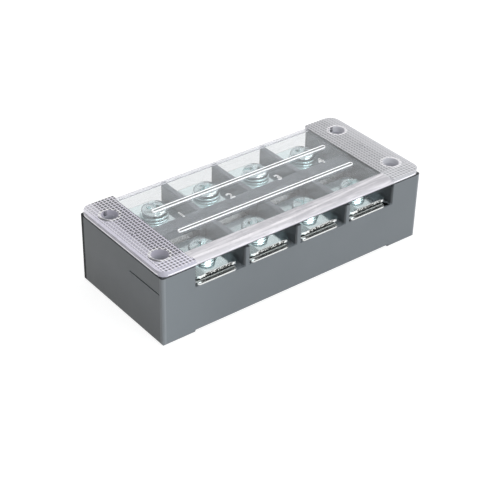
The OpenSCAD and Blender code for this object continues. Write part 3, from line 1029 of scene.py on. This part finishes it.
cover = copy_solid("cover", "clear_cover")
edit(cover)
moved = pick(cover, "VERT", lambda co: abs(co.y - WINDOW_Y) < NEAR and co.z < WINDOW_Z + NEAR)
bpy.ops.transform.translate(value=(0, REAR_STEP, 0))
close_edit()
print(moved, "corners of the window moved back")
bevel(cover, MOULDED_ROUND)
for side in (-1, 1):
    field = knurl_field(side)
    block = land_cutter(side)
    modify(field, "BOOLEAN", operation="INTERSECT", solver="EXACT", object=block)
    modify(cover, "BOOLEAN", operation="UNION", solver="EXACT", object=field)
    bpy.data.objects.remove(block)
    bpy.data.objects.remove(field)
smooth(cover)
dress(cover, clear, "cover")
print("cover", triangles(cover), "triangles")

# %% [markdown]
# ## Numbers on the cover
#
# The poles are numbered between the label ribs. Each number is moulded as a fine raised
# outline. A text object without a fill and with a round bevel gives that outline, and it is
# made a mesh before it is placed.

# %% Numbers
NUMBER_SIZE = 3.6 * MM
BEAD_R = 0.1 * MM
NUMBER_X = {1: -24.2 * MM, 2: -8.1 * MM, 3: 8.4 * MM, 4: 23.7 * MM}
NUMBER_Y = 0.4 * MM
BEAD_LIFT = 0.02 * MM


def raised_plastic():
    paint = Paint(bpy.data.materials.new("cover_numbers"))
    haze = paint.noise(1 * MM)
    shader = paint.make("BsdfPrincipled", values={
        "Base Color": paint.blend(haze, (0.80, 0.80, 0.81), (0.92, 0.92, 0.92)),
        "Roughness": 0.25,
    })
    return paint.finish(shader.out())


number_plastic = raised_plastic()
for pole in POLES:
    bpy.ops.object.select_all(action="DESELECT")
    bpy.ops.object.text_add(location=(0, 0, 0))
    number = bpy.context.object
    number.data.body = str(pole)
    number.data.size = NUMBER_SIZE
    number.data.align_x = "CENTER"
    number.data.align_y = "CENTER"
    number.data.fill_mode = "NONE"
    number.data.bevel_depth = BEAD_R
    number.data.bevel_resolution = 1
    number.data.resolution_u = 4
    bpy.ops.object.convert(target="MESH")
    number = bpy.context.object
    number.name = f"cover_number_{pole}"
    number.data.transform(Matrix.Translation((NUMBER_X[pole], NUMBER_Y, TOP + BEAD_LIFT)))
    smooth(number)
    number.data.materials.clear()
    number.data.materials.append(number_plastic)
    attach(number, body_of["cover"])
print("number", triangles(number), "triangles")

# %% [markdown]
# ## White floor
#
# The floor looks white to the camera, and in reflections, without adding light to the
# object: a Light Path node gives those rays a glow that the others don't see. The floor also
# has a plain diffuse part, which is what keeps the shadow.

# %% Floor
FLOOR_GLOW = 0.85
FLOOR_SIZE = 6


def floor_white():
    paint = Paint(bpy.data.materials.new("floor_white"))
    path = paint.make("LightPath")
    seen = path.out("Is Camera Ray") + path.out("Is Glossy Ray") + path.out("Is Transmission Ray")
    matt = paint.make("BsdfDiffuse", values={"Color": (0.30, 0.30, 0.30)})
    glow = paint.make("Emission", values={
        "Color": (1, 1, 1),
        "Strength": seen.least(1.0) * FLOOR_GLOW,
    })
    both = paint.make("AddShader", values={0: matt.out(), 1: glow.out()})
    return paint.finish(both.out())


bpy.ops.object.select_all(action="DESELECT")
bpy.ops.mesh.primitive_plane_add(size=FLOOR_SIZE, location=(0, 0, 0))
floor = bpy.context.object
floor.name = "floor"
floor.data.materials.append(floor_white())
print("floor", FLOOR_SIZE, "m wide")

# %% [markdown]
# ## White surroundings
#
# The world is white too for rays that come straight from the camera or through the clear
# cover, and dim for matt surfaces. Bright metal in an all white room would look like chalk,
# so rays that a mirror has sent on see two darker walls behind the strip, a low one and a high
# one. Glossy Depth counts those mirrors, also for a ray that then passes through the cover.

# %% World
WORLD_DIFFUSE = 0.16
WORLD_GLOSSY = 1.1
WORLD_LOW = 0.12


def studio_world():
    paint = Paint(bpy.data.worlds.new("studio"))
    path = paint.make("LightPath")
    mirror = path.out("Glossy Depth").least(1.0)
    seen = path.out("Is Camera Ray").most(path.out("Is Transmission Ray")) * (1 - mirror)
    way = paint.make("TexCoord").out("Generated")
    direction = paint.make("SeparateXYZ", values={"Vector": way})
    backward, up = direction.out(1), direction.out(2)
    low_wall = backward.ramp(0.0, 0.2) * (1 - up.ramp(0.3, 0.42))
    high_wall = backward.ramp(0.3, 0.45) * up.ramp(0.64, 0.70) * (1 - up.ramp(0.80, 0.88))
    mirrored = paint.between(low_wall.most(high_wall * 0.6), WORLD_GLOSSY, WORLD_LOW)
    strength = seen.most(mirror * (mirrored - WORLD_DIFFUSE) + WORLD_DIFFUSE)
    sky = paint.make("Background", values={"Color": (1, 1, 1), "Strength": strength})
    return paint.finish(sky.out(), "OutputWorld")


bpy.context.scene.world = studio_world()
print("world", len(bpy.context.scene.world.node_tree.nodes), "nodes")

# %% [markdown]
# ## Lamps
#
# Four soft boxes light the strip: one from the right, one from the front, a faint one from
# the left, and one from above the rear. The last one lights the plastic well but would blow out
# the mirrors of the clamp plates, so it is kept out of reflections, also through the cover.

# %% Lamps


def lamp(name, bearing, rise, distance, size, power, shade=(1, 1, 1), mirrored=True):
    """A square soft box that looks at the middle of the object."""
    data = bpy.data.lights.new(name, "AREA")
    data.size = size
    data.energy = power
    data.color = shade
    obj = bpy.data.objects.new(name, data)
    obj.visible_glossy = mirrored
    obj.visible_transmission = mirrored
    bpy.context.scene.collection.objects.link(obj)
    obj.location = direction_to(math.radians(bearing), math.radians(rise)) * distance
    obj.rotation_euler = obj.location.to_track_quat("Z", "Y").to_euler()


lamp("key", bearing=72, rise=57, distance=0.8, size=0.55, power=2.6)
lamp("front", bearing=5, rise=26, distance=0.8, size=0.7, power=5.3, shade=(0.94, 0.98, 1.0))
lamp("left", bearing=-97, rise=10, distance=0.8, size=0.3, power=0.6, shade=(1.0, 0.99, 0.97))
lamp("top", bearing=178, rise=68, distance=0.9, size=0.8, power=2.5, mirrored=False)
print(len(bpy.data.lights), "lamps")

# %% [markdown]
# ## Finish
#
# The finished pieces keep the size of their solids. This last cell sets the Standard view
# transform.

# %% Finish
scene = bpy.context.scene
scene.view_settings.view_transform = "Standard"
